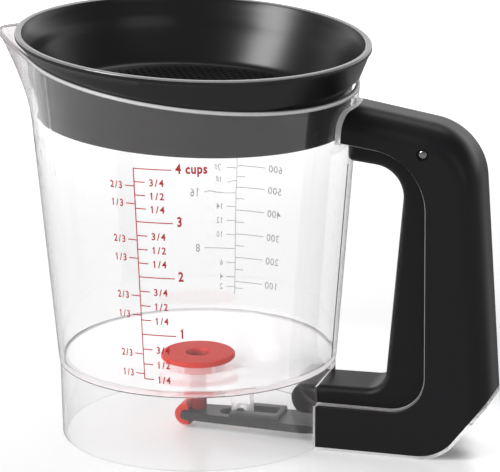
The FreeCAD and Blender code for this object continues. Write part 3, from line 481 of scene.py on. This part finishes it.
def strainer():
    """The strainer, with a painted highlight and a glossier finish on the lip, and its own finish on the
    band, which stands inside the cup.
    """
    profiles = [strainer_profile(math.cos(2 * math.pi * k / TURNS)) for k in range(TURNS)]
    points, faces = strainer_walls(profiles)
    strainer_floor(profiles, points, faces)
    mesh = new_mesh("strainer_body", points, faces, strainer_black)
    form = bmesh.new()
    form.from_mesh(mesh)
    bmesh.ops.remove_doubles(form, verts=form.verts, dist=2e-6)
    bmesh.ops.dissolve_degenerate(form, edges=form.edges, dist=1e-6)
    bmesh.ops.recalc_face_normals(form, faces=form.faces)
    form.to_mesh(mesh)
    form.free()
    mesh.shade_smooth()
    mesh.set_sharp_from_angle(angle=SHARP_EDGE)
    mesh.materials.append(lip_painted_highlight.mat)
    mesh.materials.append(band_black.mat)
    for polygon in mesh.polygons:
        spot = polygon.center
        x = spot.x - AXIS_X * MM
        outward = polygon.normal.dot((x, spot.y, 0))
        # the lip's faces get its painted highlight
        if spot.z > (TOP_Z - LIP_HIGHLIGHT_DEPTH) * MM - TOP_TILT * x:
            polygon.material_index = 1
        elif spot.z < RIM_Z * MM - RIM_TILT * x and outward > 0.01:
            polygon.material_index = 2
    piece = new_piece("strainer_body", mesh, "strainer")
    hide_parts("strainer")


strainer()


# ---------------------------------------------------------------- the cup's rim
SPOUT_TIP = 80.0                       # the tip's reach from the cup's axis
SPOUT_FOOT_Z = 112.0                   # where the spout starts to bulge out of the cone
SPOUT_HALF, SPOUT_SOFT = math.radians(48), math.radians(6.0)
SPOUT_GROWTH = 1.5                     # power by which the bulge grows with the height
RIM_COUNT = 420                        # steps round the rim
RIM_SECTION = [(0.03, -1.25), (0.07, -0.8), (0.06, -0.35), (-0.02, -0.04), (-0.2, 0.07), (-0.55, 0.09),
               (-0.95, 0.07), (-1.05, 0.0), (-0.6, -0.05), (-0.12, -0.2), (-0.06, -1.2)]


def cup_edge(angle):
    """Point of the cup's outer rim edge, for an angle from -X. The spout bulges round 0."""
    tip_z = RIM_Z + RIM_TILT * SPOUT_TIP
    z = RIM_Z
    # height and reach depend on each other, and a few rounds settle them
    for _ in range(12):
        radius = reach = cup_radius(z)
        share = max(0.0, (z - SPOUT_FOOT_Z) / (tip_z - SPOUT_FOOT_Z))
        keel = (SPOUT_TIP - cup_radius(tip_z)) * share ** SPOUT_GROWTH
        if keel > 0 and abs(angle) < SPOUT_HALF:
            lean = math.acos(radius / (radius + keel))
            reach = radius / math.cos(max(0.0, lean + SPOUT_SOFT - math.hypot(angle, SPOUT_SOFT)))
        z = RIM_Z + RIM_TILT * reach * math.cos(angle)
    return Vector((-reach * math.cos(angle), reach * math.sin(angle), z))


def rim_edge():
    """Rounded, polished edge along the cup's rim and the spout's lip, a thin skin on the wall. Its near-white
    is a painted highlight for the light that the clear rim catches.
    """
    shares = [2.0 * i / RIM_COUNT - 1.0 for i in range(RIM_COUNT)]
    spots = [cup_edge(math.pi * (0.72 * t + 0.28 * t ** 3)) for t in shares]     # closer round the spout
    points, faces = [], []
    for i, spot in enumerate(spots):
        along = spots[(i + 1) % RIM_COUNT] - spots[i - 1]
        out = Vector((along.y, -along.x, 0)).normalized()
        if out.dot(Vector((spot.x, spot.y, 0))) < 0:
            out = -out
        for push, rise in RIM_SECTION:
            place = spot + out * (push + min(0.0, rise) * DRAFT)
            x = max(place.x + AXIS_X, cad_box[0].x / MM)     # not past the solid's tip
            points.append(Vector((x, place.y, place.z + rise - RIM_TILT * out.x * push)) * MM)
    width = len(RIM_SECTION)
    for i in range(RIM_COUNT):
        n = (i + 1) % RIM_COUNT
        for k in range(width):
            m = (k + 1) % width
            faces.append((i * width + k, n * width + k, n * width + m, i * width + m))
    mesh = new_mesh("rim_edge", points, faces, rim_painted_highlight)
    mesh.shade_smooth()
    new_piece("rim_edge", mesh, "vessel")


rim_edge()


# ---------------------------------------------------------------- the handle's trim
# the cover's parting line: its upper end and slope, its right and lowest reach, and its bends' radii
COVER_START, COVER_SLOPE = (64.7, 124.3), math.tan(math.radians(7.4))
COVER_RIGHT, COVER_LOW, COVER_BENDS = 96.7, 17.8, (24.0, 15.0)
LINE_STARTS = (67.2, 60.6)             # where the frame's line starts above and below
LINE_INSET, LINE_RADIUS, LINE_Y = 0.55, 0.27, 14.12
HEAD_Y, HEAD_RADIUS, HEAD_RISE, HEAD_SIDES = 15.2, 1.95, 0.8, 32
HEAD_RINGS = [(0.3, 0.985), (0.55, 0.9), (0.78, 0.68), (0.93, 0.36), (1.0, 0.0)]    # share of radius, of rise


def bend(before, corner, after, radius, steps=14):
    """Points of the arc that rounds a corner in the XZ plane."""
    u, v = (before - corner).normalized(), (after - corner).normalized()
    half = u.angle(v) / 2
    centre = corner + (u + v).normalized() * (radius / math.sin(half))
    start = corner + u * (radius / math.tan(half)) - centre
    end = corner + v * (radius / math.tan(half)) - centre
    turn = start.angle(end)
    points = []
    for k in range(steps + 1):
        share = k / steps
        arm = start * math.sin(turn * (1 - share)) + end * math.sin(turn * share)
        points.append(centre + arm / math.sin(turn))
    return points


def frame_line(name, side):
    """Thin grey tube beside the cover's parting, on one side: the clear frame's polished edge is real, and
    its grey is a painted highlight for the thin light line that the edge shows.
    """
    right, low = COVER_RIGHT - LINE_INSET, COVER_LOW + LINE_INSET
    a, b = (Vector((x, 0, COVER_START[1] - (x - COVER_START[0]) * COVER_SLOPE - LINE_INSET))
            for x in (LINE_STARTS[0], right))
    c, d = Vector((right, 0, low)), Vector((LINE_STARTS[1], 0, low))
    upper, lower = (radius - LINE_INSET for radius in COVER_BENDS)
    path = [a] + bend(a, b, c, upper) + bend(b, c, d, lower) + [d]
    curve = bpy.data.curves.new(name, "CURVE")
    curve.dimensions = "3D"
    curve.bevel_depth = LINE_RADIUS * MM
    curve.bevel_resolution = 3
    curve.use_fill_caps = True
    spline = curve.splines.new("POLY")
    spline.points.add(len(path) - 1)
    for point, spot in zip(spline.points, path):
        point.co = ((spot.x + AXIS_X) * MM, side * LINE_Y * MM, spot.z * MM, 1.0)
    holder = bpy.data.objects.new(name, curve)
    mesh = bpy.data.meshes.new_from_object(holder)
    bpy.data.objects.remove(holder)
    mesh.shade_smooth()
    mesh.materials.clear()
    mesh.materials.append(frame_edge_highlight.mat)
    new_piece(name, mesh, "vessel")


def pin_head(name, side):
    """Low dome that the pin is riveted over with, in the recess on one side of the handle."""
    pivot_x, _, pivot_z = trigger_joint["pos_m"]
    points, faces = [(pivot_x, side * (HEAD_Y + HEAD_RISE) * MM, pivot_z)], []
    for share, rise in HEAD_RINGS:
        for k in range(HEAD_SIDES):
            x, z = on_circle(k / HEAD_SIDES, share * HEAD_RADIUS)
            points.append((pivot_x + x * MM, side * (HEAD_Y + HEAD_RISE * rise) * MM, pivot_z + z * MM))
    for k in range(HEAD_SIDES):
        n = (k + 1) % HEAD_SIDES
        faces.append((0, 1 + k, 1 + n))
        for ring in range(len(HEAD_RINGS) - 1):
            base = 1 + HEAD_SIDES * ring
            faces.append((base + k, base + HEAD_SIDES + k, base + HEAD_SIDES + n, base + n))
    faces.append(tuple(range(len(points) - HEAD_SIDES, len(points))))
    if side < 0:
        faces = [tuple(reversed(face)) for face in faces]
    mesh = new_mesh(name, points, faces, steel)
    mesh.shade_smooth()
    mesh.polygons[-1].use_smooth = False      # the flat back
    new_piece(name, mesh, "vessel")


for trim, name in ((frame_line, "frame_line_"), (pin_head, "pin_head_")):
    trim(name + "front", -1)
    trim(name + "back", 1)


# ---------------------------------------------------------------- printed scales
PRINT_LIFT = 0.06                      # the ink stands this far off the wall
PRINT_Z = 75.0                         # height at which distances along the wall are true
CAPITAL = 0.7                          # height of a capital, as a share of the type's size
BAR_STEP, BAR_RISE = 1.5, 8.0          # a bar follows the wall in steps of about this length and height
FLAG = ((0.12, 1.0), (0.12, 0.86), (-0.17, 0.68), (-0.17, 0.80))    # stroke of a 1, as shares of its height

# amounts and the heights of their marks
CUP_MARKS = [(0.25, 37.2), (1.0, 55.5), (2.0, 78.9), (3.0, 101.1), (4.0, 122.3)]
ML_MARKS = [(0, 38.1), (100, 43.4), (200, 53.5), (300, 63.3), (400, 73.2), (500, 82.8), (600, 91.7),
            (700, 100.3), (800, 108.8), (900, 117.2)]
OUNCE = 29.57                          # millilitres

# for each kind of mark, the span of its line across the scale, and the place and form of its figure
WHOLE_CUP = dict(span=(0, 13.8), x=15.2, height=3.7, bold=0.16, squeeze=0.74, space=1.1)
QUARTER_CUP = dict(span=(0, 4.0), x=5.5, height=2.75, bold=0.09, squeeze=0.87, space=1.3)
THIRD_CUP = dict(span=(-3.6, 0), x=-4.6, height=2.75, align="RIGHT", bold=0.09, squeeze=0.8, space=1.3)
HUNDRED_ML = dict(span=(0, -12.8), x=-14.3, height=2.9, align="RIGHT", bold=0.03, squeeze=1.02, space=1.08)
FIFTY_ML = dict(span=(0, -3.8))
EIGHT_OUNCES = dict(span=(0, 13.4), x=15.3, height=3.3, bold=0.03, squeeze=0.8, space=1.08)
TWO_OUNCES = dict(span=(0, 3.8), x=5.4, height=2.4, bold=0.03, squeeze=0.8, space=1.08)


class Print:
    """Flat marks and words wrapped onto the cup's wall as one mesh. X runs along it from the azimuth."""

    def __init__(self, azimuth, line):
        self.azimuth = math.radians(azimuth)
        self.half = line / 2
        self.points, self.faces = [], []

    def place(self, x, z):
        radius = cup_radius(z) + PRINT_LIFT
        angle = self.azimuth + x / cup_radius(PRINT_Z)
        x, y = AXIS_X + radius * math.sin(angle), -radius * math.cos(angle)
        self.points.append((x * MM, y * MM, z * MM))

    def bar(self, x0, x1, z0, z1):
        steps = max(1, int(abs(x1 - x0) / BAR_STEP))
        rises = max(1, int(abs(z1 - z0) / BAR_RISE))
        base = len(self.points)
        for j in range(rises + 1):
            for i in range(steps + 1):
                self.place(x0 + (x1 - x0) * i / steps, z0 + (z1 - z0) * j / rises)
        for j in range(rises):
            for i in range(steps):
                a = base + j * (steps + 1) + i
                self.faces.append((a, a + 1, a + steps + 2, a + steps + 1))

    def word(self, text, x, z, height, bold, squeeze, space, align="LEFT"):
        """Word whose capitals are height mm tall, centred on z, starting or ending at x."""
        curve = bpy.data.curves.new("word", "FONT")
        curve.body = text
        curve.align_x = align
        curve.size = height / CAPITAL
        curve.offset = bold
        curve.space_character = space
        curve.resolution_u = 4
        holder = bpy.data.objects.new("word", curve)
        mesh = bpy.data.meshes.new_from_object(holder)
        base = len(self.points)
        if text.startswith("1"):
            left = min(vertex.co.x for vertex in mesh.vertices)
            for push, rise in FLAG:
                self.place(x + (left + push * height) * squeeze, z + (rise - 0.5) * height)
            self.faces.append((base, base + 1, base + 2, base + 3))
            base += len(FLAG)
        for vertex in mesh.vertices:
            self.place(x + vertex.co.x * squeeze, z + vertex.co.y - height / 2)
        self.faces += [tuple(base + i for i in face.vertices) for face in mesh.polygons]
        bpy.data.objects.remove(holder)
        bpy.data.curves.remove(curve)
        bpy.data.meshes.remove(mesh)

    def mark(self, z, span, text="", rise=0.0, **form):
        """Line across the scale at height z, and its figure, raised a little."""
        self.bar(*span, z - self.half, z + self.half)
        if text:
            self.word(text, z=z + rise, **form)

    def finish(self, name, look):
        new_piece(name, new_mesh(name, self.points, self.faces, look), "vessel")


def mark_height(marks, amount):
    """Height of the mark for an amount, by straight lines between known marks."""
    for (low, z_low), (high, z_high) in zip(marks, marks[1:]):
        if amount <= high:
            break
    return z_low + (z_high - z_low) * (amount - low) / (high - low)


def cup_scale():
    """Cups, in quarters on one side of the line and in thirds on the other."""
    scale = Print(azimuth=-3.6, line=0.42)
    scale.bar(-scale.half, scale.half, CUP_MARKS[0][1] - scale.half, CUP_MARKS[-1][1] + scale.half)
    for quarter in range(1, 17):
        z = mark_height(CUP_MARKS, quarter / 4)
        cups, part = divmod(quarter, 4)
        if part:
            scale.mark(z, text=("1/4", "1/2", "3/4")[part - 1], **QUARTER_CUP)
        else:
            scale.mark(z, text="4 cups" if cups == 4 else str(cups), rise=1.2 - 0.15 * cups, **WHOLE_CUP)
    for third in range(1, 12):
        if third % 3:
            scale.mark(mark_height(CUP_MARKS, third / 3), text=("1/3", "2/3")[third % 3 - 1], **THIRD_CUP)
    scale.finish("cup_scale_print", print_red)


def metric_scale():
    """Millilitres on one side of the line and fluid ounces on the other."""
    scale = Print(azimuth=181.6, line=0.3)
    scale.bar(-scale.half, scale.half, ML_MARKS[0][1], ML_MARKS[-1][1] + 3.0)
    for amount in range(50, 901, 50):
        z = mark_height(ML_MARKS, amount)
        if amount % 100:
            scale.mark(z, **FIFTY_ML)
        else:
            scale.mark(z, text=str(amount), **HUNDRED_ML)
    for ounces in range(2, 31, 2):
        form = TWO_OUNCES if ounces % 8 else EIGHT_OUNCES
        scale.mark(mark_height(ML_MARKS, ounces * OUNCE), text=str(ounces), **form)
    scale.finish("metric_scale_print", print_grey)


cup_scale()
metric_scale()


# ---------------------------------------------------------------- floor, light and camera
TABLE_RADIUS, TABLE_SIDES = 4.0, 64
TABLE_MIRRORED = 0.32                  # how bright reflections see the table

# Glow of the table, by its strengths at a near and a far distance from a spot or along a way
OPEN_TABLE = dict(spot=(0, 0, 0), near=0.28, far=0.8, strengths=(0.27, 0.9))
# these two dim it under the cup and under the foot of the handle, as painted shadows
UNDER_CUP = dict(spot=(AXIS_X * MM, 0, 0), near=0.03, far=0.07, strengths=(0.75, 1.0))
UNDER_FOOT = dict(spot=(0.078, -0.012, 0), near=0.007, far=0.020, strengths=(0.3, 1.0), narrow=2.0)
# and these add painted light to it where the cup and the handle keep the lamps off, the first two by their
# product
BESIDE_FOOT = dict(spot=(0.094, 0.012, 0), near=0.015, far=0.065, strengths=(1.0, 0.0))
PAST_FOOT = dict(way=(1.0, 0.35, 0.0), near=0.084, far=0.096, strengths=(0.0, 0.36))
BEHIND_HANDLE = dict(spot=(0.03, 0.10, 0), near=0.01, far=0.065, strengths=(0.17, 0.0))


def floor_material():
    """White table, whose glow only the camera and clear plastic see. The glow holds painted shadows under the
    cup and the handle's foot, and painted light where the real shadows fall beside the foot and behind the
    handle. Reflections see it as a plain grey.
    """
    mat = bpy.data.materials.new("floor")
    tree = Tree(mat)
    place = tree.node("TexCoord").outputs["Object"]
    path = tree.node("LightPath").outputs

    def around(spot, near, far, strengths, narrow=1.0):
        """Strength by the distance from a spot, in a measure that is narrow times as fine along Y."""
        measured = tree.vector("MULTIPLY", place, (1.0, narrow, 1.0))
        return tree.smooth(tree.distance(measured, spot), near, far, *strengths)

    def onward(way, near, far, strengths):
        """Strength by the distance along a way."""
        return tree.smooth(tree.dot(place, way), near, far, *strengths)

    glow = tree.math("MULTIPLY", around(**OPEN_TABLE), around(**UNDER_CUP))
    glow = tree.math("MULTIPLY", glow, around(**UNDER_FOOT))
    glow = tree.math("MULTIPLY_ADD", onward(**PAST_FOOT), around(**BESIDE_FOOT), glow)
    glow = tree.math("ADD", around(**BEHIND_HANDLE), glow)
    seen = tree.math("MAXIMUM", path["Is Camera Ray"], path["Is Transmission Ray"])
    shine = tree.node("Emission", Strength=tree.math("MULTIPLY", seen, glow))
    table = tree.node("BsdfPrincipled", Base_Color=(0.97, 0.97, 0.97, 1), Roughness=0.25,
                      Specular_IOR_Level=0.3)
    lit = tree.node("AddShader", table.outputs[0], shine.outputs[0])
    grey_shine = tree.node("Emission", Strength=TABLE_MIRRORED)
    mirrored = tree.math("MULTIPLY", path["Is Glossy Ray"], path["Is Reflection Ray"])
    pick = tree.node("MixShader", mirrored, lit.outputs[0], grey_shine.outputs[0])
    tree.put(tree.node("OutputMaterial").inputs["Surface"], pick.outputs[0])
    return mat


def studio_floor():
    ring = [on_circle(k / TABLE_SIDES, TABLE_RADIUS) + (0,) for k in range(TABLE_SIDES)]
    mesh = bpy.data.meshes.new("floor")
    mesh.from_pydata(ring, [], [tuple(range(TABLE_SIDES))])
    mesh.materials.append(floor_material())
    floor = bpy.data.objects.new("floor", mesh)
    scene.collection.objects.link(floor)


# the sweep starts and is full at these cosines to its way, and at these heights of the ray's direction
SWEEP_WAY, SWEEP_COSINES = (-0.28, 0.96, 0.0), (-0.45, 0.85)
SWEEP_HEIGHTS, SWEEP_STRENGTH = (0.45, 0.18), 1.4
# how bright the room is as a lamp, in reflections away from the sweep, and where it is seen straight on
ROOM, DIM_ROOM, WHITE = 0.5, 0.15, 1.0


def studio_world():
    """White for the camera and for clear plastic. Reflections see a bright sweep, low down behind the object,
    and a dim room in front of it."""
    scene.world = bpy.data.worlds.new("studio")
    tree = Tree(scene.world)
    path = tree.node("LightPath").outputs
    way = tree.node("TexCoord").outputs["Generated"]
    behind = tree.smooth(tree.dot(way, SWEEP_WAY), *SWEEP_COSINES)
    low_down = tree.smooth(tree.part(way, "Z"), *SWEEP_HEIGHTS, 0.0, SWEEP_STRENGTH)
    sweep = tree.math("MULTIPLY_ADD", behind, low_down, DIM_ROOM)
    strength = ROOM
    for rays, seen in (("Is Glossy Ray", sweep), ("Is Transmission Ray", WHITE), ("Is Camera Ray", WHITE)):
        strength = tree.node("Mix", Factor=path[rays], A=strength, B=seen).outputs["Result"]
    sky = tree.node("Background", Strength=strength)
    tree.put(tree.node("OutputWorld").inputs["Surface"], sky.outputs[0])


def softbox(name, place, aim, size, power):
    lamp = bpy.data.lights.new(name, "AREA")
    lamp.shape = "RECTANGLE"
    lamp.size, lamp.size_y = size
    lamp.energy = power
    holder = bpy.data.objects.new(name, lamp)
    holder.location = place
    holder.rotation_euler = (Vector(aim) - Vector(place)).to_track_quat("-Z", "Y").to_euler()
    scene.collection.objects.link(holder)


def studio_camera(place, turn, lens):
    """Camera at a place, turned by degrees about X, Y and Z."""
    camera = bpy.data.cameras.new("camera")
    camera.lens = lens
    camera.sensor_width = 36.0
    camera.clip_end = 50.0
    eye = bpy.data.objects.new("camera", camera)
    eye.location = place
    eye.rotation_euler = tuple(math.radians(angle) for angle in turn)
    scene.collection.objects.link(eye)
    scene.camera = eye


studio_floor()
studio_world()
softbox("key", place=(-0.86, -0.86, 1.0), aim=(0, 0, 0.1), size=(0.55, 0.8), power=12.0)
softbox("top", place=(0.0, 0.85, 1.35), aim=(0, 0, 0.08), size=(1.0, 0.8), power=3.0)
softbox("side", place=(1.3, -0.9, 0.6), aim=(0, 0, 0.08), size=(1.0, 1.0), power=1.5)
studio_camera(place=(0.38064, -1.23350, 0.45750), turn=(73.6986, 0.5458, 16.9092), lens=247.55)
scene.view_settings.view_transform = "Standard"

bpy.context.view_layer.update()
